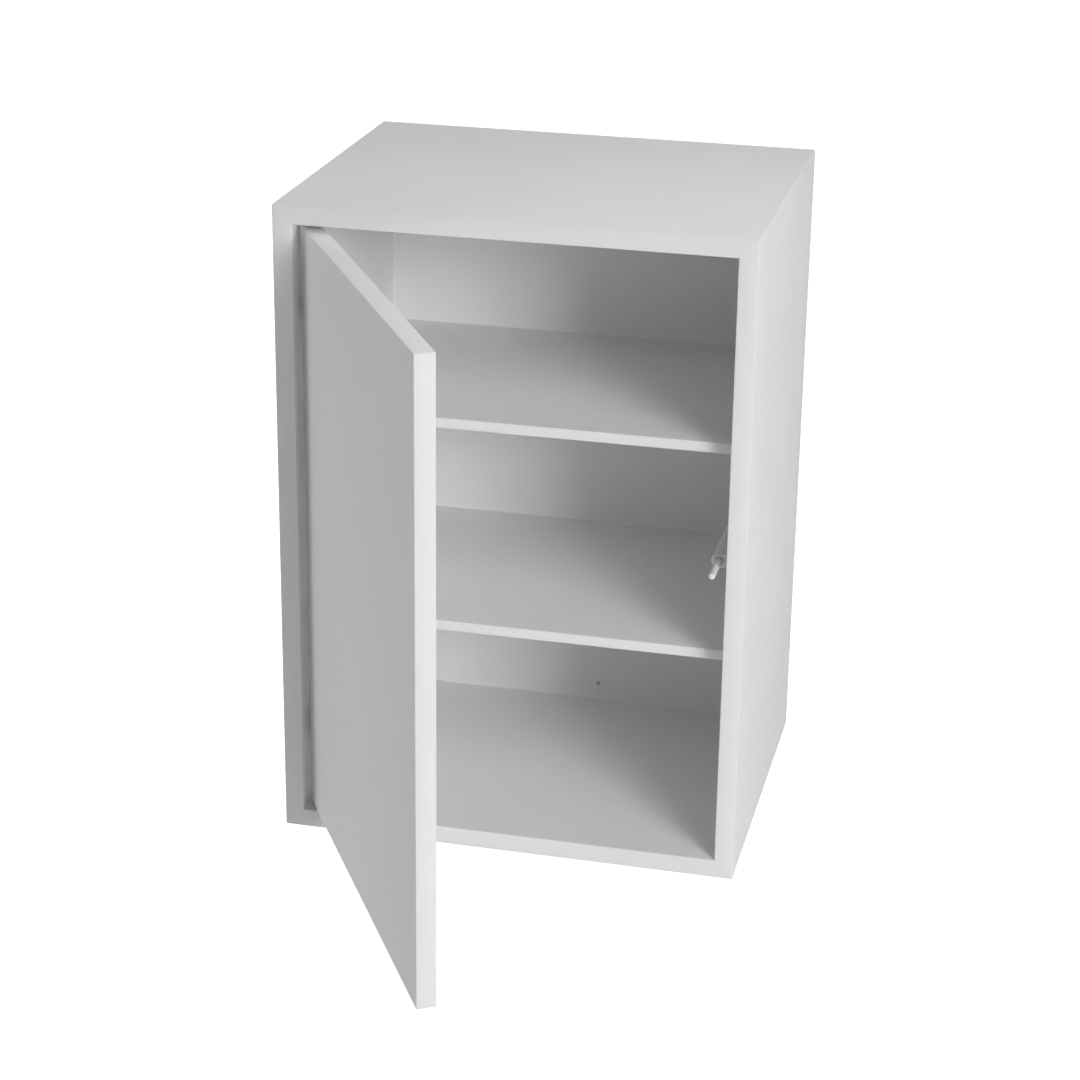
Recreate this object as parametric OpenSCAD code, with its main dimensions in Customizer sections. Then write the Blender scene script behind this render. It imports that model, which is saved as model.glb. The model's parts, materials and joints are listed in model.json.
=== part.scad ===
// Hanging wall cabinet: a mitred box with two fixed shelves, an inset door on two
// single-pivot cup hinges and a push latch, hung on a bevelled cleat.
// X runs to the right, Y runs back to the wall plane at Y = 0, Z runs up.
// The origin is the middle of the wall cleat's screw line, on the wall plane.

/* [Case] */
// Outside width of the case
case_w = 440; // [420:10:600]
// Outside height of the case
case_h = 620; // [600:10:700]
// Outside depth of the case, from the wall to the front edges
case_d = 350; // [350:10:400]
// Thickness of the case boards and of the door
board_t = 18; // [18:1:19]
// Thickness of the back panel
back_t = 10; // [8:1:12]
// Free depth behind the back panel, for the hanging cleats
back_recess = 20; // [20:1:24]
// Depth of the grooves that hold the back panel
groove_depth = 6; // [4:1:8]

/* [Shelves] */
// Thickness of a shelf
shelf_t = 10; // [8:1:12]
// How far the shelves stand back from the front edges
shelf_setback = 30; // [25:1:60]
// Height of the lower shelf's underside above the case's underside
lower_shelf_h = 210; // [180:5:240]
// Height of the upper shelf's underside above the case's underside
upper_shelf_h = 412; // [380:2:430]

/* [Door] */
// Gap all round the closed door
door_gap = 3; // [2.5:0.5:4]
// Angle at which the door stands open, counted from closed
door_open = 59.2; // [0:0.1:95]

/* [Hinges] */
// Distance of a hinge's middle from the case's upper or lower face
hinge_inset = 100; // [80:5:130]
// Distance of the pivot from the door's hinged edge
pivot_inset = 14.5; // [14.5:0.1:14.8]
// Depth of the pivot behind the door's outer face
pivot_depth = 8.5; // [8.5:0.1:9]
// Diameter of the hinge cup
cup_d = 35; // [35:1:35]
// Depth of the hinge cup in the door
cup_depth = 13.5; // [13:0.1:14]
// Distance of the mounting plate's screws from the front edges
plate_setback = 37; // [37:1:40]

/* [Push latch] */
// Distance of the latch's axis from the right side's inner face
latch_inset = 11; // [10:0.5:12]
// Height of the latch above the case's underside
latch_h = 310; // [260:5:360]
// Diameter of the plunger
plunger_d = 6.2; // [5.5:0.1:6.4]
// How far the released plunger stands out in front of the case
plunger_reach = 13; // [5:1:16]

/* [Hanging] */
// Height of the case's upper face above the wall cleat's screw line
screw_drop = 90; // [85:1:110]
// Distance between the wall cleat's two screw holes
wall_hole_spacing = 300; // [200:10:300]
// Diameter of the wall cleat's screw holes
wall_hole_d = 5.5; // [5:0.1:6.5]
// Diameter of the lower fixing hole in the back panel
fixing_hole_d = 4; // [3:0.5:5]

/* [Hidden] */
$fn = 64;

// Colours
lacquer = "whitesmoke";
beech = "burlywood";
nickel = "silver";
zinc = "lightgray";
grey_plastic = "darkgray";
white_plastic = "white";

// Faces of the case
half_w = case_w / 2;
case_top = screw_drop;
case_bottom = case_top - case_h;
front = -case_d;
inner_half_w = half_w - board_t;
inner_top = case_top - board_t;
inner_bottom = case_bottom + board_t;
back_outer = -back_recess;
back_inner = back_outer - back_t;

// Corners of the case seen from the front: lower left, lower right, upper right, upper left
outer_corners = [[-half_w, case_bottom], [half_w, case_bottom],
                 [half_w, case_top], [-half_w, case_top]];
inner_corners = [[-inner_half_w, inner_bottom], [inner_half_w, inner_bottom],
                 [inner_half_w, inner_top], [-inner_half_w, inner_top]];

// Joinery
play = 0.05;
running = 0.05;
screw_hole_spare = 0.3;
corner_dowel_d = 6;
corner_dowel_l = 20;
corner_dowel_inset = 11;
corner_dowel_places = [0.16, 0.39, 0.62, 0.85];
shelf_dowel_d = 5;
shelf_dowel_in_side = 10;
shelf_dowel_in_shelf = 14;
shelf_dowel_places = [0.3, 0.75];

// Door
door_w = 2 * (inner_half_w - door_gap);
door_h = case_h - 2 * (board_t + door_gap);
door_bottom = inner_bottom + door_gap;
pivot = [-inner_half_w + door_gap + pivot_inset, front + pivot_depth];
door_inner = board_t - pivot_depth;

// Hinge, measured from its pivot: x to the right, y back, z up
hinge_heights = [case_bottom + hinge_inset, case_top - hinge_inset];
cup_inset = 22.5;
cup_x = cup_inset - pivot_inset;
cup_wall = 1.2;
cup_floor = 0.8;
flange_t = 1.2;
flange_rim = 1.2;
flange_screw_offset = 6;
flange_screw_x = cup_x + flange_screw_offset;
flange_screw_z = 24;
flange_w = 12;
flange_end_d = 12.4;
pin_d = 3;
pin_l = 30;
eye_d = 5.4;
eye_w = 14;
ear_gap = 16.4;
ear_margin = 0.4;
arm_t = 2;
arm_leg_angle = 22;
arm_bend_r = 17.8;
arm_bend_end = 121;
arm_bend_steps = 3;
side_face_x = -inner_half_w - pivot[0];
plate_h = 7;
plate_side_play = 0.4;
plate_front_play = 1;
plate_back_play = 2;
arm_base_y = 16;
arm_back_y = 62;
channel_y = 22;
channel_half_w = 8.5;
channel_wall = 1.5;
channel_depth = 6.5;
plate_y = plate_setback - pivot_depth;
wing_t = 2.2;
wing_half_z = 22;
wing_half_y = 7;
plate_screw_z = 16;
fixing_screw_y = 52;
adjusting_screw_y = 40;

// Screws that fix the arm and set its reach
fixing_screw_d = 4;
adjusting_screw_d = 3.5;
arm_screw_head_h = 1.8;
arm_screw_head_ratio = 1.8;
arm_screw_l = 6;
arm_screw_slot_w = 1;
arm_screw_slot_l = 10;

// Other screws: diameter, length, head diameter
cup_screw = [3.5, 13, 6.4];
plate_screw = [5, 13, 8];
cleat_screw = [4, 25, 8];
strike_screw = [2.5, 12, 4.6];
latch_screw = [3.5, 14, 6.4];

// Push latch, measured along Y
latch_x = inner_half_w - latch_inset;
latch_z = case_bottom + latch_h;
adapter_r = 6.8;
adapter_foot_half = 6.4;
adapter_setback = 26;
adapter_l = 105.5;
adapter_front = front + adapter_setback;
adapter_back = adapter_front + adapter_l;
adapter_end = 7;
adapter_wing_t = 2.6;
adapter_wing_half_z = 24;
adapter_wing_half_y = 10;
adapter_wing_y = front + plate_setback;
cartridge_r = 5;
cartridge_proud = 0.8;
cartridge_front = adapter_front - cartridge_proud;
cartridge_back = adapter_back - adapter_end;
cartridge_end = 2;
collar_t = 0.7;
collar_r = 4.4;
collar_play = 0.3;
collar_hole_r = plunger_d / 2 + collar_play;
plunger_front = front - plunger_reach;
tip_l = 6;
tip_round = 2.2;
spigot_r = 1.5;
spigot_l = 3;
plunger_l = 65;
plunger_back = plunger_front + plunger_l;
spring_r = 2.4;
spring_wire = 0.7;
spring_turns = 14;
spring_steps = 12;
spring_sides = 6;
strike_t = 1.2;
strike_w = 15;
strike_l = 36;
strike_offset = 1.5;
strike_x = latch_x - pivot[0] - strike_offset;
strike_screw_z = 12;

// Hanging cleats
cleat_t = 18;
wall_cleat_l = 380;
wall_cleat_bottom = -22;
wall_cleat_top = 38;
wall_head_d = 11;
cleat_wall_gap = 2;
cleat_screw_places = [-170, -60, 60, 170];
cleat_screw_z = 56;
fixing_hole_x = 21.6;
fixing_hole_h = 35.6;

// A countersunk screw with its head's face at the origin and its shank along -Z
module screw(size) {
    d = size[0];
    head_h = (size[2] - d) / 2;
    point = d * 0.8;
    difference() {
        union() {
            translate([0, 0, -head_h]) cylinder(h = head_h, d1 = d, d2 = size[2]);
            translate([0, 0, -size[1] + point]) cylinder(h = size[1] - point - head_h, d = d);
            translate([0, 0, -size[1]]) cylinder(h = point, d1 = 0.5, d2 = d);
        }
        for (turn = [0, 90])
            rotate(turn) translate([-size[2] / 4, -d / 10, -head_h * 0.8])
                cube([size[2] / 2, d / 5, head_h]);
    }
}

// The hole that such a screw sits in
module screw_hole(size) {
    d = size[0] + 2 * play;
    head_d = size[2] + 2 * play;
    head_h = (head_d - d) / 2;
    translate([0, 0, -head_h]) cylinder(h = head_h, d1 = d, d2 = head_d);
    translate([0, 0, -size[1] - screw_hole_spare])
        cylinder(h = size[1] + screw_hole_spare, d = d);
    cylinder(h = 1, d = head_d);
}

// Ways for a screw's head to face
module facing_back() rotate([-90, 0, 0]) children();
module facing_front() rotate([90, 0, 0]) children();
module facing_right() rotate([0, 90, 0]) children();
module facing_left() rotate([0, -90, 0]) children();

// One board of the case, mitred at both ends; side 0 is the bottom, then anticlockwise
module case_board(side) {
    next = (side + 1) % 4;
    difference() {
        rotate([90, 0, 0]) linear_extrude(case_d)
            polygon([outer_corners[side], outer_corners[next],
                     inner_corners[next], inner_corners[side]]);
        back_blank();
        for (corner = [side, next]) corner_dowels_at(corner, play);
    }
}

// The back panel's outline, in its grooves
module back_blank() {
    translate([-inner_half_w - groove_depth, back_inner, inner_bottom - groove_depth])
        cube([2 * (inner_half_w + groove_depth), back_t,
              inner_top - inner_bottom + 2 * groove_depth]);
}

// The dowels that cross the mitre at one corner of the case
module corner_dowels_at(corner, extra = 0) {
    at = outer_corners[corner]
       + (inner_corners[corner] - outer_corners[corner]) * corner_dowel_inset / board_t;
    for (place = corner_dowel_places)
        translate([at[0], -case_d * place, at[1]])
            rotate([0, corner % 2 == 0 ? 135 : 45, 0])
                cylinder(h = corner_dowel_l + 2 * extra, d = corner_dowel_d + 2 * extra,
                         center = true);
}

// The four dowels of the shelf whose underside is this high above the case's underside
module shelf_dowels_at(shelf_h, extra = 0) {
    dowel_l = shelf_dowel_in_side + shelf_dowel_in_shelf;
    middle = inner_half_w + (shelf_dowel_in_side - shelf_dowel_in_shelf) / 2;
    for (side = [-1, 1], place = shelf_dowel_places)
        translate([side * middle, -case_d * place, case_bottom + shelf_h + shelf_t / 2])
            rotate([0, 90, 0])
                cylinder(h = dowel_l + 2 * extra, d = shelf_dowel_d + 2 * extra, center = true);
}

module all_shelf_dowels(extra = 0) {
    for (shelf_h = [lower_shelf_h, upper_shelf_h]) shelf_dowels_at(shelf_h, extra);
}

module left_side() {
    color(lacquer) difference() {
        case_board(3);
        all_shelf_dowels(play);
        for (z = hinge_heights) plate_screws_at(z) screw_hole(plate_screw);
    }
}

module right_side() {
    color(lacquer) difference() {
        case_board(1);
        all_shelf_dowels(play);
        latch_screws_at() screw_hole(latch_screw);
    }
}

module top_board() {
    color(lacquer) case_board(2);
}

module bottom_board() {
    color(lacquer) case_board(0);
}

module back_panel() {
    color(lacquer) difference() {
        back_blank();
        cleat_screws_at() screw_hole(cleat_screw);
        translate([fixing_hole_x, back_outer + 1, case_bottom + fixing_hole_h])
            facing_front() cylinder(h = back_t + 2, d = fixing_hole_d);
    }
}

module shelf(shelf_h) {
    color(lacquer) difference() {
        translate([-inner_half_w, front + shelf_setback, case_bottom + shelf_h])
            cube([2 * inner_half_w, back_inner - front - shelf_setback, shelf_t]);
        shelf_dowels_at(shelf_h, play);
    }
}

module corner_dowels() {
    color(beech) for (corner = [0 : 3]) corner_dowels_at(corner);
}

module shelf_dowels() {
    color(beech) all_shelf_dowels();
}

// Extrudes an outline drawn in Y and Z along X, centred
module along_x(length) {
    translate([-length / 2, 0, 0]) rotate([90, 0, 90]) linear_extrude(length) children();
}

// The strip behind the back panel that hooks over the wall cleat
module cabinet_cleat() {
    bevel_at_wall = wall_cleat_top - cleat_t;
    color(beech) difference() {
        along_x(2 * inner_half_w)
            polygon([[back_outer, bevel_at_wall - back_outer], [back_outer, inner_top],
                     [-cleat_wall_gap, inner_top],
                     [-cleat_wall_gap, bevel_at_wall + cleat_wall_gap]]);
        cleat_screws_at() screw_hole(cleat_screw);
    }
}

module cleat_screws_at() {
    for (x = cleat_screw_places)
        translate([x, -cleat_wall_gap, cleat_screw_z]) facing_back() children();
}

module cleat_screws() {
    color(zinc) cleat_screws_at() screw(cleat_screw);
}

// The bevelled strip that is screwed to the wall
module wall_cleat() {
    head_h = (wall_head_d - wall_hole_d) / 2;
    color(beech) difference() {
        along_x(wall_cleat_l)
            polygon([[0, wall_cleat_bottom], [-cleat_t, wall_cleat_bottom],
                     [-cleat_t, wall_cleat_top], [0, wall_cleat_top - cleat_t]]);
        for (side = [-1, 1])
            translate([side * wall_hole_spacing / 2, 0, 0]) facing_front() {
                translate([0, 0, -1]) cylinder(h = cleat_t + 2, d = wall_hole_d);
                translate([0, 0, cleat_t - head_h])
                    cylinder(h = head_h, d1 = wall_hole_d, d2 = wall_head_d);
            }
    }
}

// Carries what belongs to the door, drawn closed from the pivot, to the open door
module on_door() {
    translate([pivot[0], pivot[1], 0]) rotate([0, 0, -door_open]) children();
}

// Places the fixed half of a hinge
module at_pivot(z) {
    translate([pivot[0], pivot[1], z]) children();
}

module door_panel() {
    color(lacquer) on_door() difference() {
        translate([-pivot_inset, -pivot_depth, door_bottom]) cube([door_w, board_t, door_h]);
        for (z = hinge_heights) translate([0, 0, z]) {
            translate([cup_x, door_inner - cup_depth, 0])
                facing_back() cylinder(h = cup_depth + 1, d = cup_d);
            cup_screws_at() screw_hole(cup_screw);
        }
        strike_outline(1);
        strike_screws_at() screw_hole(strike_screw);
    }
}

// The pressed cup with its flange and the two ears that hold the pin
module hinge_cup(z) {
    floor_y = door_inner - cup_depth;
    cavity_d = cup_d - 2 * cup_wall;
    color(nickel) on_door() translate([0, 0, z]) difference() {
        union() {
            difference() {
                union() {
                    translate([cup_x, floor_y, 0])
                        facing_back() cylinder(h = cup_depth, d = cup_d);
                    translate([0, door_inner, 0]) cup_flange();
                }
                translate([cup_x, floor_y + cup_floor, 0])
                    facing_back() cylinder(h = cup_depth + 2, d = cavity_d);
            }
            intersection() {
                translate([cup_x, floor_y + cup_floor / 2, 0])
                    facing_back() cylinder(h = cup_depth, d = cup_d - cup_wall);
                for (side = [0, 1]) mirror([0, 0, side])
                    translate([-eye_d / 2 - ear_margin, floor_y, ear_gap / 2])
                        cube([eye_d + 2 * ear_margin, -floor_y + eye_d / 2, cup_d]);
            }
        }
        cylinder(h = pin_l, d = pin_d, center = true);
        cup_screws_at() screw_hole(cup_screw);
    }
}

module cup_flange() {
    facing_back() linear_extrude(flange_t) {
        translate([cup_x, 0]) circle(d = cup_d + 2 * flange_rim);
        translate([flange_screw_x - flange_w / 2, -flange_screw_z])
            square([flange_w, 2 * flange_screw_z]);
        for (side = [-1, 1])
            translate([flange_screw_x, side * flange_screw_z]) circle(d = flange_end_d);
    }
}

module cup_screws_at() {
    for (side = [-1, 1])
        translate([flange_screw_x, door_inner + flange_t, side * flange_screw_z])
            facing_back() children();
}

module cup_screws(z) {
    color(zinc) on_door() translate([0, 0, z]) cup_screws_at() screw(cup_screw);
}

module hinge_pin(z) {
    color(nickel) on_door() translate([0, 0, z]) cylinder(h = pin_l, d = pin_d, center = true);
}

// The cranked arm: an eye on the pin, a leg out of the cup, a bend round the door's
// edge and a channel that sits on the mounting plate
module hinge_arm(z) {
    base_x = side_face_x + plate_h;
    color(nickel) at_pivot(z) difference() {
        union() {
            linear_extrude(eye_w, center = true) arm_outline(base_x);
            translate([base_x, channel_y, -channel_half_w])
                cube([arm_t, arm_back_y - channel_y, 2 * channel_half_w]);
            for (side = [0, 1]) mirror([0, 0, side])
                translate([base_x + arm_t - channel_depth, channel_y,
                           channel_half_w - channel_wall])
                    cube([channel_depth, arm_back_y - channel_y, channel_wall]);
        }
        cylinder(h = eye_w + 2, d = pin_d + 2 * running, center = true);
        for (y = [adjusting_screw_y, fixing_screw_y])
            translate([base_x - 1, y, 0]) facing_right()
                cylinder(h = arm_t + 2, d = arm_screw_d(y) + 2 * play);
    }
}

module arm_outline(base_x) {
    circle(d = eye_d);
    rotate(arm_leg_angle) translate([0, -arm_t / 2]) square([arm_bend_r + arm_t / 2, arm_t]);
    intersection() {
        difference() {
            circle(r = arm_bend_r + arm_t, $fn = 128);
            circle(r = arm_bend_r, $fn = 128);
        }
        polygon([[0, 0], for (i = [0 : arm_bend_steps])
            let (a = arm_leg_angle + (arm_bend_end - arm_leg_angle) * i / arm_bend_steps)
            2 * arm_bend_r * [cos(a), sin(a)]]);
    }
    translate([base_x, arm_base_y]) square([arm_t, arm_back_y - arm_base_y]);
}

// The cross-shaped plate on the side that the arm is screwed to
module mounting_plate(z) {
    half_z = channel_half_w - channel_wall - plate_side_play;
    length = arm_back_y - channel_y - plate_front_play - plate_back_play;
    color(nickel) at_pivot(z) difference() {
        union() {
            translate([side_face_x, channel_y + plate_front_play, -half_z])
                cube([plate_h, length, 2 * half_z]);
            translate([side_face_x, plate_y - wing_half_y, -wing_half_z])
                cube([wing_t, 2 * wing_half_y, 2 * wing_half_z]);
        }
        for (side = [-1, 1])
            translate([side_face_x + wing_t, plate_y, side * plate_screw_z])
                facing_right() screw_hole(plate_screw);
        for (y = [adjusting_screw_y, fixing_screw_y])
            translate([side_face_x + 1, y, 0]) facing_right()
                cylinder(h = plate_h, d = arm_screw_d(y) + 2 * play);
    }
}

module plate_screws_at(z) {
    for (side = [-1, 1])
        at_pivot(z) translate([side_face_x + wing_t, plate_y, side * plate_screw_z])
            facing_right() children();
}

module plate_screws(z) {
    color(zinc) plate_screws_at(z) screw(plate_screw);
}

function arm_screw_d(y) = y == fixing_screw_y ? fixing_screw_d : adjusting_screw_d;

module arm_screws(z) {
    color(zinc) at_pivot(z) for (y = [adjusting_screw_y, fixing_screw_y])
        translate([side_face_x + plate_h + arm_t, y, 0]) facing_right() difference() {
            union() {
                cylinder(h = arm_screw_head_h, d = arm_screw_head_ratio * arm_screw_d(y));
                translate([0, 0, -arm_screw_l])
                    cylinder(h = arm_screw_l + 0.5, d = arm_screw_d(y));
            }
            translate([-arm_screw_slot_l / 2, -arm_screw_slot_w / 2, arm_screw_head_h / 2])
                cube([arm_screw_slot_l, arm_screw_slot_w, arm_screw_head_h]);
        }
}

// The steel plate let into the door where the plunger presses
module strike_outline(above = 0) {
    translate([strike_x - strike_w / 2, door_inner - strike_t, latch_z - strike_l / 2])
        cube([strike_w, strike_t + above, strike_l]);
}

module strike_screws_at() {
    for (side = [-1, 1])
        translate([strike_x, door_inner, latch_z + side * strike_screw_z])
            facing_back() children();
}

module strike_plate() {
    color(nickel) on_door() difference() {
        strike_outline();
        strike_screws_at() screw_hole(strike_screw);
    }
}

module strike_screws() {
    color(zinc) on_door() strike_screws_at() screw(strike_screw);
}

// Places what turns about the latch's axis, drawn along +Z from this distance on Y
module on_latch(y) {
    translate([latch_x, y, latch_z]) facing_back() children();
}

// The housing that carries the cartridge, with a cross foot on the side
module latch_adapter() {
    color(grey_plastic) difference() {
        union() {
            on_latch(adapter_front) cylinder(h = adapter_l, r = adapter_r);
            translate([latch_x, adapter_front, latch_z - adapter_foot_half])
                cube([latch_inset, adapter_l, 2 * adapter_foot_half]);
            translate([inner_half_w - adapter_wing_t, adapter_wing_y - adapter_wing_half_y,
                       latch_z - adapter_wing_half_z])
                cube([adapter_wing_t, 2 * adapter_wing_half_y, 2 * adapter_wing_half_z]);
        }
        on_latch(adapter_front - 1)
            cylinder(h = cartridge_back - adapter_front + 1, r = cartridge_r);
        latch_screws_at() screw_hole(latch_screw);
    }
}

module latch_screws_at() {
    for (side = [-1, 1])
        translate([inner_half_w - adapter_wing_t, adapter_wing_y,
                   latch_z + side * plate_screw_z])
            facing_left() children();
}

module latch_screws() {
    color(zinc) latch_screws_at() screw(latch_screw);
}

// The tube that guides the plunger and holds its spring
module latch_cartridge() {
    color(grey_plastic) difference() {
        on_latch(cartridge_front)
            cylinder(h = cartridge_back - cartridge_front, r = cartridge_r);
        on_latch(cartridge_front - 1)
            cylinder(h = cartridge_back - cartridge_end - cartridge_front + 1,
                     r = plunger_d / 2 + running);
    }
}

module latch_collar() {
    color(grey_plastic) on_latch(cartridge_front - collar_t) difference() {
        cylinder(h = collar_t, r = collar_r);
        translate([0, 0, -1]) cylinder(h = collar_t + 2, r = collar_hole_r);
    }
}

module latch_plunger() {
    tip_back = plunger_front + tip_l;
    color(white_plastic) {
        on_latch(tip_back) cylinder(h = plunger_back - tip_back, d = plunger_d);
        on_latch(tip_back - spigot_l) cylinder(h = spigot_l + 1, r = spigot_r);
    }
}

// The soft rounded tip on the plunger's spigot
module latch_tip() {
    r = plunger_d / 2;
    color(white_plastic) on_latch(plunger_front) difference() {
        rotate_extrude() {
            translate([0, tip_round]) square([r, tip_l - tip_round]);
            square([r - tip_round, tip_round + 0.1]);
            intersection() {
                translate([r - tip_round, tip_round]) circle(r = tip_round);
                square([r, tip_l]);
            }
        }
        translate([0, 0, tip_l - spigot_l]) cylinder(h = spigot_l + 1, r = spigot_r);
    }
}

// The coil spring behind the plunger, swept along a helix
module latch_spring() {
    spring_l = cartridge_back - cartridge_end - plunger_back - spring_wire;
    rings = spring_turns * spring_steps;
    points = [for (i = [0 : rings], j = [0 : spring_sides - 1])
        let (a = 360 * i / spring_steps,
             b = 360 * j / spring_sides,
             r = spring_r + cos(b) * spring_wire / 2)
        [r * cos(a), r * sin(a), spring_l * i / rings + sin(b) * spring_wire / 2]];
    walls = [for (i = [0 : rings - 1], j = [0 : spring_sides - 1])
        let (k = (j + 1) % spring_sides,
             here = i * spring_sides,
             next = here + spring_sides)
        each [[here + j, next + j, next + k], [here + j, next + k, here + k]]];
    start = [for (j = [0 : spring_sides - 1]) j];
    end = [for (j = [spring_sides - 1 : -1 : 0]) rings * spring_sides + j];
    color(nickel) on_latch(plunger_back + spring_wire / 2)
        polyhedron(points, concat(walls, [start, end]));
}

left_side();
right_side();
top_board();
bottom_board();
back_panel();
shelf(upper_shelf_h);  // upper_shelf
shelf(lower_shelf_h);  // lower_shelf
corner_dowels();
shelf_dowels();
cabinet_cleat();
cleat_screws();
wall_cleat();
door_panel();
hinge_cup(hinge_heights[1]);  // upper_hinge_cup
cup_screws(hinge_heights[1]);  // upper_cup_screws
hinge_pin(hinge_heights[1]);  // upper_hinge_pin
hinge_arm(hinge_heights[1]);  // upper_hinge_arm
mounting_plate(hinge_heights[1]);  // upper_mounting_plate
plate_screws(hinge_heights[1]);  // upper_plate_screws
arm_screws(hinge_heights[1]);  // upper_arm_screws
hinge_cup(hinge_heights[0]);  // lower_hinge_cup
cup_screws(hinge_heights[0]);  // lower_cup_screws
hinge_pin(hinge_heights[0]);  // lower_hinge_pin
hinge_arm(hinge_heights[0]);  // lower_hinge_arm
mounting_plate(hinge_heights[0]);  // lower_mounting_plate
plate_screws(hinge_heights[0]);  // lower_plate_screws
arm_screws(hinge_heights[0]);  // lower_arm_screws
strike_plate();
strike_screws();
latch_adapter();
latch_screws();
latch_cartridge();
latch_collar();
latch_plunger();
latch_tip();
latch_spring();
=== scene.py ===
"""Looks for the hanging wall cabinet: lacquered boards, hinges, latch, studio and camera."""

import json
import math

import bmesh
import bpy
from mathutils import Matrix, Vector

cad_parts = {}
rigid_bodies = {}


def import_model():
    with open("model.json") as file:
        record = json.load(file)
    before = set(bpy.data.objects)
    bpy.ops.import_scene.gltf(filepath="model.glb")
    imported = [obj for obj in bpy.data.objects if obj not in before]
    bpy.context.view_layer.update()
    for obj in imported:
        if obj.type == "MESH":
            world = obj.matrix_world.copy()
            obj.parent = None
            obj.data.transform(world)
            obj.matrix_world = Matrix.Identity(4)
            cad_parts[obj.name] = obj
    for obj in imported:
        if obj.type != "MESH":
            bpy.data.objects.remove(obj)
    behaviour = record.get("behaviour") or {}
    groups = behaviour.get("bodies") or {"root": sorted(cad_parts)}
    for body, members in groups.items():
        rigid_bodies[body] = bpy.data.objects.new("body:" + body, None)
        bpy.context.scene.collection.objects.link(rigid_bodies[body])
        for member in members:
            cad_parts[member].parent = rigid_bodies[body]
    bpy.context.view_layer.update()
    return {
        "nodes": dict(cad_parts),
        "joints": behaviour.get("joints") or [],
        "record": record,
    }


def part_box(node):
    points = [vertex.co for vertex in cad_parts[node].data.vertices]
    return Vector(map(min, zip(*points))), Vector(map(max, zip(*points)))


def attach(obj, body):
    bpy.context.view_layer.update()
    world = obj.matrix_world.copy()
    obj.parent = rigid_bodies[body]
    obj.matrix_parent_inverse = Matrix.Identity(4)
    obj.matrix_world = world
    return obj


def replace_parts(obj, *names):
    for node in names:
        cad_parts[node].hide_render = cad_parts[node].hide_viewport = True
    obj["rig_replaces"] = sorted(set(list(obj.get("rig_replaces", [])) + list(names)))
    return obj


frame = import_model()
nodes = frame["nodes"]

MM = 0.001
EASE = 1.1 * MM  # radius of the case boards' eased edges
DOOR_EASE = 0.9 * MM
SHELF_EASE = 0.8 * MM
FILLET_RADIUS = 2 * MM  # painted fillet round the back panel
FILLET_STEPS = 5
DOOR_GAP = 3 * MM  # all round the closed door
CUP_INSET = 22.5 * MM  # middle of a hinge cup from the door's hinged edge
CUP_RADIUS = 17.5 * MM
CUP_DEPTH = 13.5 * MM
STRIKE_NEAR = 2.5 * MM  # the strike plate's recess, from the door's free edge
STRIKE_FAR = 17.5 * MM
STRIKE_DEPTH = 1.2 * MM
PAST_FACE = 1 * MM  # how far a cutter stands out of the face it cuts
HOLE_CUTTER_LENGTH = 30 * MM

SAME_PLACE = 1e-6  # coordinates closer than this are equal
BOARD_RUN = 0.1  # an edge longer than this runs along a board
OWN_SMOOTH_ANGLE = math.radians(32)  # sharper edges than this are not shaded smooth
CAD_SMOOTH_ANGLE = math.radians(30)
ROUNDED_ANGLE = math.radians(40)  # sharper CAD edges than this are rounded
WELD_DISTANCE = 0.01 * MM

CAMERA_PLACE = (0.5288, -2.4975, 0.6737)
CAMERA_ANGLES = (13.091, 20.573, 0.794)  # azimuth, elevation and roll, in degrees
CAMERA_LENS = 86.862
CAMERA_SHIFT = -0.05

LIGHT_DISTANCE = 8
SMALL_LIGHT = 2.0  # sides of the square lights
LARGE_LIGHT = 4.2
WORLD_LIGHTING = 0.1
FLOOR_LIGHTING = 0.0
FLOOR_SIZE = 60
FLOOR_DROP = 0.9  # from the underside of the case to the floor

# ---------------------------------------------------------------- places, all from the CAD frame

joint = {j["name"]: j for j in frame["joints"]}
hinge = joint["door_hinge"]
pivot = Vector(hinge["pos_m"])
DOOR_OPEN = -math.radians(hinge["range_deg"][0])

left_lo, left_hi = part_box("left_side")
right_lo, right_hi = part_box("right_side")
back_lo, back_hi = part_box("back_panel")
board_t = left_hi.x - left_lo.x
case_lo = Vector(left_lo)
case_hi = Vector(right_hi)
inner_lo = case_lo + Vector((board_t, 0, board_t))
inner_hi = case_hi - Vector((board_t, 0, board_t))


# ---------------------------------------------------------------- shader helpers

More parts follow.
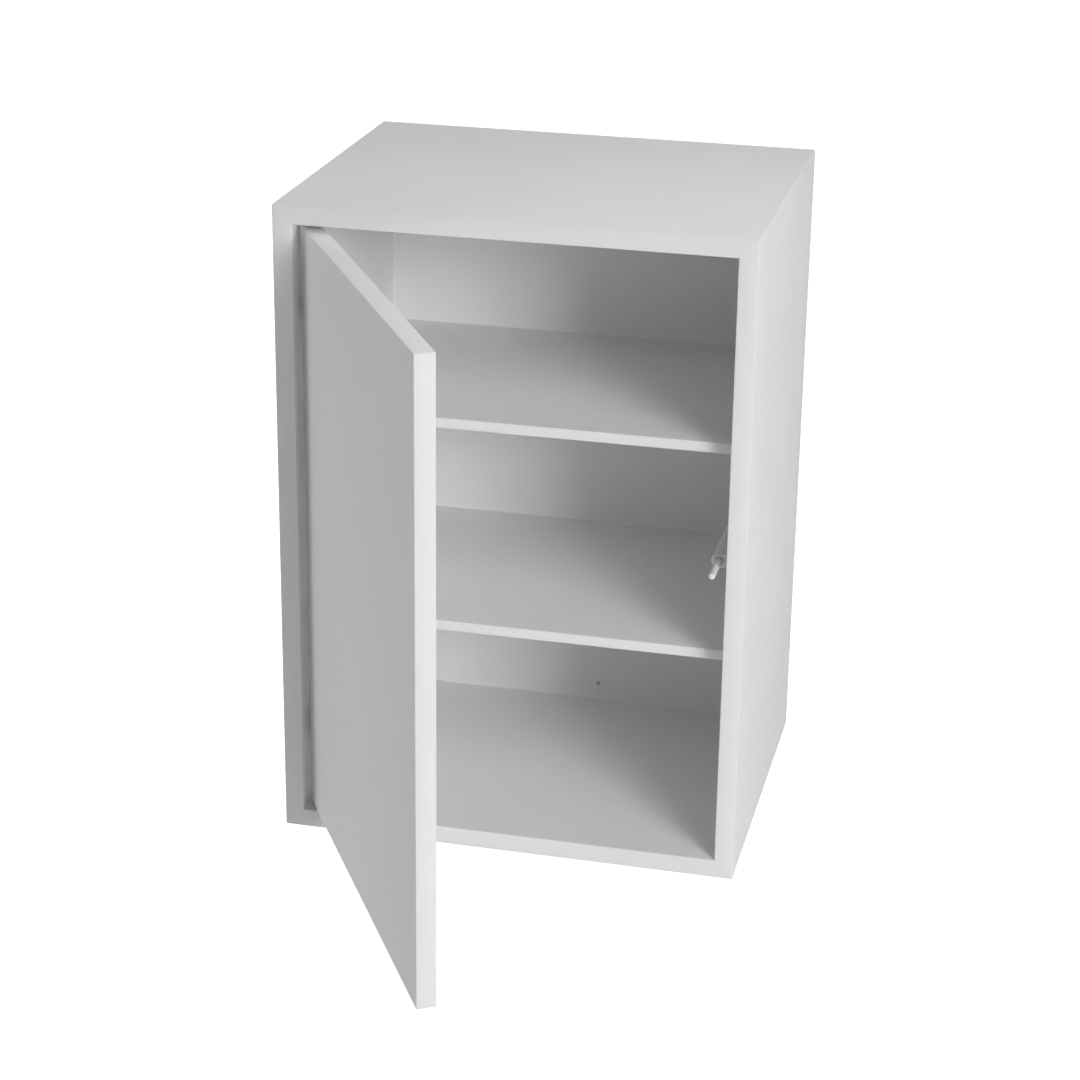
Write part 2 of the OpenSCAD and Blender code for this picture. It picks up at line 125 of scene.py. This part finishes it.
class Shader:
    """A small wrapper that adds nodes to one material and joins them."""

    def __init__(self, name):
        self.material = bpy.data.materials.new(name)
        self.material.use_nodes = True
        self.tree = self.material.node_tree
        self.tree.nodes.clear()
        self.surface = self.add("ShaderNodeBsdfPrincipled")
        output = self.add("ShaderNodeOutputMaterial")
        self.join(self.surface.outputs["BSDF"], output.inputs["Surface"])

    def add(self, kind, **settings):
        made = self.tree.nodes.new(kind)
        for key, value in settings.items():
            setattr(made, key, value)
        return made

    def join(self, source, target):
        self.tree.links.new(source, target)

    def set(self, **values):
        """Sets the surface shader's own sockets, with spaces written as underscores."""
        for key, value in values.items():
            self.surface.inputs[key.replace("_", " ")].default_value = value

    def coords(self, scale=(1, 1, 1), rotation=(0, 0, 0)):
        source = self.add("ShaderNodeTexCoord")
        mapping = self.add("ShaderNodeMapping")
        mapping.inputs["Scale"].default_value = scale
        mapping.inputs["Rotation"].default_value = rotation
        self.join(source.outputs["Object"], mapping.inputs["Vector"])
        return mapping.outputs["Vector"]

    def noise(self, vector, scale, detail=3.0, roughness=0.5, distortion=0.0):
        made = self.add("ShaderNodeTexNoise")
        made.inputs["Scale"].default_value = scale
        made.inputs["Detail"].default_value = detail
        made.inputs["Roughness"].default_value = roughness
        made.inputs["Distortion"].default_value = distortion
        self.join(vector, made.inputs["Vector"])
        return made.outputs["Fac"]

    def spread(self, value, low, high, from_low=0.3, from_high=0.7):
        made = self.add("ShaderNodeMapRange")
        made.inputs["From Min"].default_value = from_low
        made.inputs["From Max"].default_value = from_high
        made.inputs["To Min"].default_value = low
        made.inputs["To Max"].default_value = high
        self.join(value, made.inputs["Value"])
        return made.outputs["Result"]

    def ramp(self, value, *stops):
        """A colour ramp: each stop is (place, colour)."""
        made = self.add("ShaderNodeValToRGB")
        elements = made.color_ramp.elements  # a new ramp has two
        while len(elements) < len(stops):
            elements.new(0.5)
        for element, (place, colour) in zip(elements, stops):
            element.position = place
            element.color = (*colour, 1)
        self.join(value, made.inputs["Fac"])
        return made.outputs["Color"]

    def mix(self, factor, a, b, blend="MIX"):
        made = self.add("ShaderNodeMix", data_type="RGBA", blend_type=blend)
        colour_a, colour_b = made.inputs[6], made.inputs[7]
        for socket, value in ((made.inputs["Factor"], factor), (colour_a, a), (colour_b, b)):
            if isinstance(value, bpy.types.NodeSocket):
                self.join(value, socket)
            elif isinstance(value, (int, float)):
                socket.default_value = value
            else:
                socket.default_value = (*value, 1)
        return made.outputs[2]

    def sum(self, a, b, operation="ADD"):
        made = self.add("ShaderNodeMath", operation=operation)
        for socket, value in ((made.inputs[0], a), (made.inputs[1], b)):
            if isinstance(value, bpy.types.NodeSocket):
                self.join(value, socket)
            else:
                socket.default_value = value
        return made.outputs["Value"]

    def bump(self, height, distance, strength=1.0):
        made = self.add("ShaderNodeBump")
        made.inputs["Distance"].default_value = distance
        made.inputs["Strength"].default_value = strength
        self.join(height, made.inputs["Height"])
        self.join(made.outputs["Normal"], self.surface.inputs["Normal"])


# ---------------------------------------------------------------- materials

def lacquer_material():
    """Sprayed satin lacquer on fibreboard: faint cloudiness, orange peel and dust in the gloss."""
    s = Shader("satin_lacquer")
    space = s.coords()
    cloud = s.noise(space, 6, 2)
    grain = s.noise(space, 900, 2)
    peel = s.noise(space, 260, 2, 0.45)
    speck = s.noise(space, 2600, 1)
    base = s.ramp(s.spread(cloud, 0, 1), (0.0, (0.872, 0.871, 0.864)), (1.0, (0.892, 0.891, 0.886)))
    s.join(s.mix(0.05, base, s.ramp(grain, (0.35, (0.80, 0.80, 0.79)), (0.65, (0.93, 0.93, 0.93)))),
           s.surface.inputs["Base Color"])
    s.join(s.spread(s.sum(s.sum(cloud, 0.6, "MULTIPLY"), s.sum(speck, 0.4, "MULTIPLY")), 0.50, 0.60),
           s.surface.inputs["Roughness"])
    s.bump(s.sum(peel, s.sum(grain, 0.25, "MULTIPLY")), 0.00004, 0.6)
    s.set(IOR=1.48, Specular_IOR_Level=0.3)
    return s.material


def beech_material():
    """Bare planed beech: long rings, short dark flecks and a slightly furry grain."""
    s = Shader("bare_beech")
    rings = s.noise(s.coords((1.2, 22, 22)), 4.5, 5, 0.55, 0.6)
    fleck = s.noise(s.coords((14, 420, 420)), 6, 2, 0.6)
    wide = s.noise(s.coords((0.8, 5, 5)), 3, 2)
    base = s.ramp(rings, (0.30, (0.52, 0.345, 0.195)), (0.5, (0.61, 0.425, 0.26)),
                  (0.72, (0.69, 0.51, 0.33)))
    shade = s.mix(s.spread(wide, 0.0, 0.35), base, (0.56, 0.37, 0.23))
    s.join(s.mix(s.spread(fleck, 0.0, 0.55, 0.58, 0.70), shade, (0.36, 0.22, 0.12)),
           s.surface.inputs["Base Color"])
    s.join(s.spread(rings, 0.52, 0.68), s.surface.inputs["Roughness"])
    s.bump(s.sum(rings, s.sum(fleck, 0.5, "MULTIPLY")), 0.00012, 0.7)
    return s.material


def metal_material(name, colour, dark, roughness, stretch):
    """Plated steel with drawing marks along one way, small dull patches and pressed-in unevenness."""
    s = Shader(name)
    lines = s.noise(s.coords(stretch), 420, 3, 0.6)
    patch = s.noise(s.coords(), 160, 3)
    s.join(s.mix(s.spread(patch, 0.0, 0.45), colour, dark), s.surface.inputs["Base Color"])
    s.join(s.spread(s.sum(s.sum(lines, 0.7, "MULTIPLY"), s.sum(patch, 0.3, "MULTIPLY")),
                    roughness, roughness + 0.14), s.surface.inputs["Roughness"])
    s.bump(s.sum(lines, s.sum(patch, 0.8, "MULTIPLY")), 0.00002, 0.5)
    s.set(Metallic=1.0)
    return s.material


def plastic_material(name, colour, dark, roughness, texture, subsurface=0.0):
    """Moulded plastic: spark-eroded texture, slight flow marks and handling shine."""
    s = Shader(name)
    fine = s.noise(s.coords(), 2200, 2, 0.6)
    flow = s.noise(s.coords((1, 0.35, 1)), 70, 2)
    s.join(s.mix(s.spread(flow, 0.0, 0.6), colour, dark), s.surface.inputs["Base Color"])
    s.join(s.spread(s.sum(s.sum(fine, 0.5, "MULTIPLY"), s.sum(flow, 0.5, "MULTIPLY")),
                    roughness - 0.06, roughness + 0.08), s.surface.inputs["Roughness"])
    s.bump(fine, texture, 0.6)
    s.set(Subsurface_Weight=subsurface, Subsurface_Radius=(0.001, 0.001, 0.001), IOR=1.5)
    return s.material


MATERIALS = {
    "lacquered_board": lacquer_material(),
    "beech": beech_material(),
    "nickel_steel": metal_material("nickel_plate", (0.63, 0.61, 0.57), (0.50, 0.485, 0.45), 0.24,
                                   (1, 0.06, 1)),
    "zinc_steel": metal_material("zinc_plate", (0.68, 0.69, 0.71), (0.55, 0.56, 0.60), 0.28, (1, 1, 1)),
    "grey_plastic": plastic_material("grey_plastic", (0.80, 0.80, 0.79), (0.75, 0.75, 0.74), 0.42, 0.00003),
    "white_plastic": plastic_material("white_plastic", (0.86, 0.86, 0.84), (0.82, 0.82, 0.80), 0.34,
                                      0.00001, 0.05),
}
SLOT_OF = {part["node"]: part["material_slot"] for part in frame["record"]["subparts"]}


# ---------------------------------------------------------------- mesh helpers

def finish_mesh(bm, name, slot, body, *replaced):
    """Turns the bmesh into a named piece that rides on a body and stands for CAD nodes."""
    bmesh.ops.recalc_face_normals(bm, faces=bm.faces)
    mesh = bpy.data.meshes.new(name)
    bm.to_mesh(mesh)
    bm.free()
    piece = bpy.data.objects.new(name, mesh)
    bpy.context.scene.collection.objects.link(piece)
    mesh.materials.append(MATERIALS[slot])
    mesh.shade_smooth()
    mesh.set_sharp_from_angle(angle=OWN_SMOOTH_ANGLE)
    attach(piece, body)
    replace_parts(piece, *replaced)
    return piece


def block(bm, lo, hi):
    """Adds a box between two corners and returns its vertices."""
    made = bmesh.ops.create_cube(bm, size=1)["verts"]
    for v in made:
        v.co = Vector(tuple(lo[i] + (v.co[i] + 0.5) * (hi[i] - lo[i]) for i in range(3)))
    return made


def ease_edges(bm, edges, radius, segments=3):
    bmesh.ops.bevel(bm, geom=list(edges), offset=radius, segments=segments, profile=0.5,
                    affect="EDGES", clamp_overlap=True)


def cut_piece(piece, cutter_bm):
    """Cuts the cutter's shape out of the piece for good."""
    bmesh.ops.recalc_face_normals(cutter_bm, faces=cutter_bm.faces)
    mesh = bpy.data.meshes.new("cutter")
    cutter_bm.to_mesh(mesh)
    cutter_bm.free()
    cutter = bpy.data.objects.new("cutter", mesh)
    bpy.context.scene.collection.objects.link(cutter)
    modifier = piece.modifiers.new("cut", "BOOLEAN")
    modifier.operation = "DIFFERENCE"
    modifier.solver = "EXACT"
    modifier.object = cutter
    bpy.context.view_layer.update()
    shape = piece.evaluated_get(bpy.context.evaluated_depsgraph_get())
    cut = bpy.data.meshes.new_from_object(shape)
    piece.modifiers.clear()
    old = piece.data
    piece.data = cut
    bpy.data.meshes.remove(old)
    bpy.data.objects.remove(cutter)
    piece.data.shade_smooth()
    piece.data.set_sharp_from_angle(angle=OWN_SMOOTH_ANGLE)


def rod(bm, centre, axis, radius, length, segments=64):
    """Adds a closed cylinder whose middle is at centre."""
    turn = Vector((0, 0, 1)).rotation_difference(Vector(axis)).to_matrix().to_4x4()
    bmesh.ops.create_cone(bm, cap_ends=True, segments=segments, radius1=radius, radius2=radius,
                          depth=length, matrix=Matrix.Translation(centre) @ turn)


# ---------------------------------------------------------------- the case

def case_shell():
    """The whole ring of the case with its eased edges, before it is cut at the mitres."""
    bm = bmesh.new()
    outer = [(case_lo.x, case_lo.z), (case_hi.x, case_lo.z), (case_hi.x, case_hi.z), (case_lo.x, case_hi.z)]
    inner = [(inner_lo.x, inner_lo.z), (inner_hi.x, inner_lo.z), (inner_hi.x, inner_hi.z),
             (inner_lo.x, inner_hi.z)]
    front, rear = case_lo.y, case_hi.y
    ring = {(kind, end): [bm.verts.new((x, y, z)) for x, z in points]
            for kind, points in (("outer", outer), ("inner", inner))
            for end, y in (("front", front), ("rear", rear))}
    for i in range(4):
        j = (i + 1) % 4
        outer_front, outer_rear = ring["outer", "front"], ring["outer", "rear"]
        inner_front, inner_rear = ring["inner", "front"], ring["inner", "rear"]
        bm.faces.new((outer_front[i], outer_front[j], inner_front[j], inner_front[i]))
        bm.faces.new((outer_rear[j], outer_rear[i], inner_rear[i], inner_rear[j]))
        bm.faces.new((outer_front[j], outer_front[i], outer_rear[i], outer_rear[j]))
        bm.faces.new((inner_front[i], inner_front[j], inner_rear[j], inner_rear[i]))
    bmesh.ops.recalc_face_normals(bm, faces=bm.faces)
    eased = [e for e in bm.edges if not is_inside_corner(e) and not is_mitre_line(e)]
    ease_edges(bm, eased, EASE)
    return bm


def is_inside_corner(edge):
    """True for the four edges that run back from the opening's corners."""
    a, b = (v.co for v in edge.verts)
    runs_back = abs(a.y - b.y) > BOARD_RUN
    return runs_back and inner_lo.x - SAME_PLACE < a.x < inner_hi.x + SAME_PLACE


def is_mitre_line(edge):
    """True for the lines across the front and rear faces from an outer to an inner corner."""
    a, b = (v.co for v in edge.verts)
    return abs(a.x - b.x) > SAME_PLACE and abs(a.z - b.z) > SAME_PLACE


def mitred_board(shell, name, outward):
    """One board: what lies on its side of the two mitre planes, with the cut ends closed."""
    bm = shell.copy()
    if outward.x:
        ends = [Vector((case_hi.x if outward.x > 0 else case_lo.x, 0, z)) for z in (case_lo.z, case_hi.z)]
    else:
        ends = [Vector((x, 0, case_hi.z if outward.z > 0 else case_lo.z)) for x in (case_lo.x, case_hi.x)]
    middle = (case_lo + case_hi) / 2
    for end in ends:
        away = Vector((1 if end.x > middle.x else -1, 0, 1 if end.z > middle.z else -1))
        inside = Vector((outward.x if outward.x else -away.x, 0, outward.z if outward.z else -away.z))
        bmesh.ops.bisect_plane(bm, geom=bm.verts[:] + bm.edges[:] + bm.faces[:], dist=1e-7,
                               plane_co=end, plane_no=inside, clear_inner=True)
        loose = [e for e in bm.edges if e.is_boundary]
        bmesh.ops.triangle_fill(bm, edges=loose, use_beauty=True)
    return finish_mesh(bm, name + "_lacquered", "lacquered_board", "case", name)


def groove_cutter():
    """The groove all round that the back panel sits in."""
    bm = bmesh.new()
    block(bm, back_lo, back_hi)
    return bm


def build_case():
    shell = case_shell()
    for name, outward in (("left_side", (-1, 0, 0)), ("right_side", (1, 0, 0)),
                          ("top_board", (0, 0, 1)), ("bottom_board", (0, 0, -1))):
        board = mitred_board(shell, name, Vector(outward))
        cut_piece(board, groove_cutter())
    shell.free()


def build_back():
    """The back panel with its fixing hole."""
    bm = bmesh.new()
    block(bm, back_lo, back_hi)
    piece = finish_mesh(bm, "back_panel_lacquered", "lacquered_board", "case", "back_panel")
    mount = {m["name"]: m for m in frame["record"]["mounts"]}["lower_fixing_hole"]
    radius = mount["dims"]["r_mm"] * MM
    place = Vector(mount["pos_m"])
    cutter = bmesh.new()
    rod(cutter, place, (0, 1, 0), radius, HOLE_CUTTER_LENGTH, 40)
    cut_piece(piece, cutter)


def build_shelf(name):
    """A shelf whose two front edges are eased."""
    lo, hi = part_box(name)
    bm = bmesh.new()
    block(bm, lo, hi)
    front = [e for e in bm.edges if all(abs(v.co.y - lo.y) < SAME_PLACE for v in e.verts)
             and abs(e.verts[0].co.x - e.verts[1].co.x) > BOARD_RUN]
    ease_edges(bm, front, SHELF_EASE)
    finish_mesh(bm, name + "_lacquered", "lacquered_board", "case", name)


def build_seal():
    """The thin painted fillet between the back panel and what it meets, in each bay."""
    upper_lo, upper_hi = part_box("upper_shelf")
    lower_lo, lower_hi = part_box("lower_shelf")
    bays = ((inner_lo.z, lower_lo.z), (lower_hi.z, upper_lo.z), (upper_hi.z, inner_hi.z))
    bm = bmesh.new()
    for low, high in bays:
        corners = [(inner_lo.x, low), (inner_hi.x, low), (inner_hi.x, high), (inner_lo.x, high)]
        middle_z = (low + high) / 2
        rings = []
        for step in range(FILLET_STEPS + 1):
            a = math.radians(90 * step / FILLET_STEPS)
            inset, proud = FILLET_RADIUS * (1 - math.sin(a)), FILLET_RADIUS * (1 - math.cos(a))
            rings.append([bm.verts.new((x - math.copysign(inset, x), back_lo.y - proud,
                                        z - math.copysign(inset, z - middle_z))) for x, z in corners])
        rings.append([bm.verts.new((x, back_lo.y, z)) for x, z in corners])
        for ring, after in zip(rings, rings[1:] + rings[:1]):
            for i in range(4):
                j = (i + 1) % 4
                bm.faces.new((ring[i], ring[j], after[j], after[i]))
    finish_mesh(bm, "back_seal", "lacquered_board", "case")


# ---------------------------------------------------------------- the door

def door_space(build):
    """Builds in the closed door's space, measured from the pivot, and turns the result to the open door."""
    turn = Matrix.Translation(Vector((pivot.x, pivot.y, 0))) @ Matrix.Rotation(-DOOR_OPEN, 4, "Z")
    bm = bmesh.new()
    build(bm)
    bm.transform(turn)
    return bm


def build_door():
    """The slab with eased edges, bored for the hinge cups and let in for the strike plate."""
    lo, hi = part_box("door_panel")
    strike_lo, strike_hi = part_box("strike_plate")
    edge_inset = pivot.x - inner_lo.x - DOOR_GAP
    face_depth = pivot.y - case_lo.y
    width = inner_hi.x - inner_lo.x - 2 * DOOR_GAP
    inner_face = board_t - face_depth

    def slab(bm):
        block(bm, (-edge_inset, -face_depth, lo.z), (width - edge_inset, inner_face, hi.z))
        ease_edges(bm, bm.edges[:], DOOR_EASE)

    def pockets(bm):
        for name in ("upper_hinge_cup", "lower_hinge_cup"):
            cup_lo, cup_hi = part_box(name)
            middle = Vector((CUP_INSET - edge_inset, inner_face, (cup_lo.z + cup_hi.z) / 2))
            rod(bm, middle, (0, 1, 0), CUP_RADIUS, 2 * CUP_DEPTH, 96)

    def recess(bm):
        far = width - edge_inset
        block(bm, (far - STRIKE_FAR, inner_face - STRIKE_DEPTH, strike_lo.z),
              (far - STRIKE_NEAR, inner_face + PAST_FACE, strike_hi.z))

    piece = finish_mesh(door_space(slab), "door_lacquered", "lacquered_board", "door", "door_panel")
    cut_piece(piece, door_space(pockets))
    cut_piece(piece, door_space(recess))


# ---------------------------------------------------------------- carried-over CAD nodes

EDGE_RADIUS = {"nickel_steel": 0.22 * MM, "zinc_steel": 0.15 * MM, "grey_plastic": 0.5 * MM,
               "white_plastic": 0.2 * MM}  # the beech parts keep their sawn edges


def soften(part, radius):
    """Joins the node's loose corners and rounds its sharp edges, with modifiers only."""
    weld = part.modifiers.new("weld", "WELD")
    weld.merge_threshold = WELD_DISTANCE
    bevel = part.modifiers.new("soft_edges", "BEVEL")
    bevel.width = radius
    bevel.segments = 2
    bevel.limit_method = "ANGLE"
    bevel.angle_limit = ROUNDED_ANGLE
    bevel.use_clamp_overlap = True
    flat = part.modifiers.new("flat_faces", "WEIGHTED_NORMAL")
    flat.mode = "FACE_AREA"
    flat.weight = 50


def dress_hardware():
    """Every CAD node left showing gets its material, and softly broken edges if it is metal or plastic."""
    replaced = {name for o in bpy.data.objects for name in o.get("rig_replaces", [])}
    for name, part in nodes.items():
        if name in replaced:
            continue
        part.data.materials.clear()
        part.data.materials.append(MATERIALS[SLOT_OF[name]])
        part.data.shade_smooth()
        part.data.set_sharp_from_angle(angle=CAD_SMOOTH_ANGLE)
        if SLOT_OF[name] in EDGE_RADIUS:
            soften(part, EDGE_RADIUS[SLOT_OF[name]])


# ---------------------------------------------------------------- studio and camera

def area_light(name, azimuth, elevation, size, power):
    """A soft square light that looks at the middle of the case from this side of it."""
    lamp = bpy.data.lights.new(name, "AREA")
    lamp.shape, lamp.energy = "RECTANGLE", power
    lamp.size = lamp.size_y = size
    holder = bpy.data.objects.new(name, lamp)
    bpy.context.scene.collection.objects.link(holder)
    a, e = math.radians(azimuth), math.radians(elevation)
    away = Vector((math.sin(a) * math.cos(e), -math.cos(a) * math.cos(e), math.sin(e)))
    holder.location = (case_lo + case_hi) / 2 + away * LIGHT_DISTANCE
    holder.rotation_mode = "QUATERNION"
    holder.rotation_quaternion = (-away).to_track_quat("-Z", "Y")
    return holder


def white_backdrop(tree, strength, lighting):
    """Makes a studio surface plain white to look at while it lights the cabinet with this strength only."""
    seen = tree.nodes.new("ShaderNodeLightPath")
    mixed = tree.nodes.new("ShaderNodeMapRange")
    mixed.inputs["To Min"].default_value = lighting
    mixed.inputs["To Max"].default_value = 1.0
    tree.links.new(seen.outputs["Is Camera Ray"], mixed.inputs["Value"])
    tree.links.new(mixed.outputs["Result"], strength)


def build_studio():
    scene = bpy.context.scene
    world = bpy.data.worlds.new("studio")
    scene.world = world
    world.use_nodes = True
    background = world.node_tree.nodes["Background"]
    background.inputs["Color"].default_value = (1, 1, 1, 1)
    white_backdrop(world.node_tree, background.inputs["Strength"], WORLD_LIGHTING)

    bpy.ops.mesh.primitive_plane_add(size=FLOOR_SIZE, location=(0, 0, case_lo.z - FLOOR_DROP))
    floor = bpy.context.object
    floor.name = "studio_floor"
    pale = bpy.data.materials.new("pale_floor")
    pale.use_nodes = True
    shader = pale.node_tree.nodes["Principled BSDF"]
    shader.inputs["Base Color"].default_value = (0.9, 0.9, 0.9, 1)
    shader.inputs["Roughness"].default_value = 0.9
    shader.inputs["Emission Color"].default_value = (1, 1, 1, 1)
    white_backdrop(pale.node_tree, shader.inputs["Emission Strength"], FLOOR_LIGHTING)
    floor.data.materials.append(pale)

    key_low = area_light("key_low", 40, 14, SMALL_LIGHT, 222)
    key_low.visible_glossy = False  # no glare across the top when it is seen from behind
    area_light("key_high", 42, 32, LARGE_LIGHT, 162)
    area_light("left", -95, 15, LARGE_LIGHT, 172)
    area_light("above_rear", 180, 60, LARGE_LIGHT, 225)
    area_light("rear_right", 120, 30, LARGE_LIGHT, 69)
    scene.view_settings.view_transform = "Standard"


def build_camera():
    """The photograph's viewpoint: in front, to the right and above."""
    camera = bpy.data.cameras.new("camera")
    holder = bpy.data.objects.new("camera", camera)
    bpy.context.scene.collection.objects.link(holder)
    azimuth, elevation, roll = (math.radians(x) for x in CAMERA_ANGLES)
    back = Vector((math.sin(azimuth) * math.cos(elevation), -math.cos(azimuth) * math.cos(elevation),
                   math.sin(elevation)))
    right = Vector((math.cos(azimuth), math.sin(azimuth), 0))
    up = back.cross(right)
    level = Matrix((right, up, back)).transposed().to_4x4()
    holder.matrix_world = Matrix.Translation(CAMERA_PLACE) @ level @ Matrix.Rotation(roll, 4, "Z")
    camera.sensor_width = 36
    camera.lens = CAMERA_LENS
    camera.shift_y = CAMERA_SHIFT
    camera.clip_start, camera.clip_end = 0.05, 200
    bpy.context.scene.camera = holder


build_case()
build_back()
build_shelf("upper_shelf")
build_shelf("lower_shelf")
build_seal()
build_door()
dress_hardware()
build_studio()
build_camera()
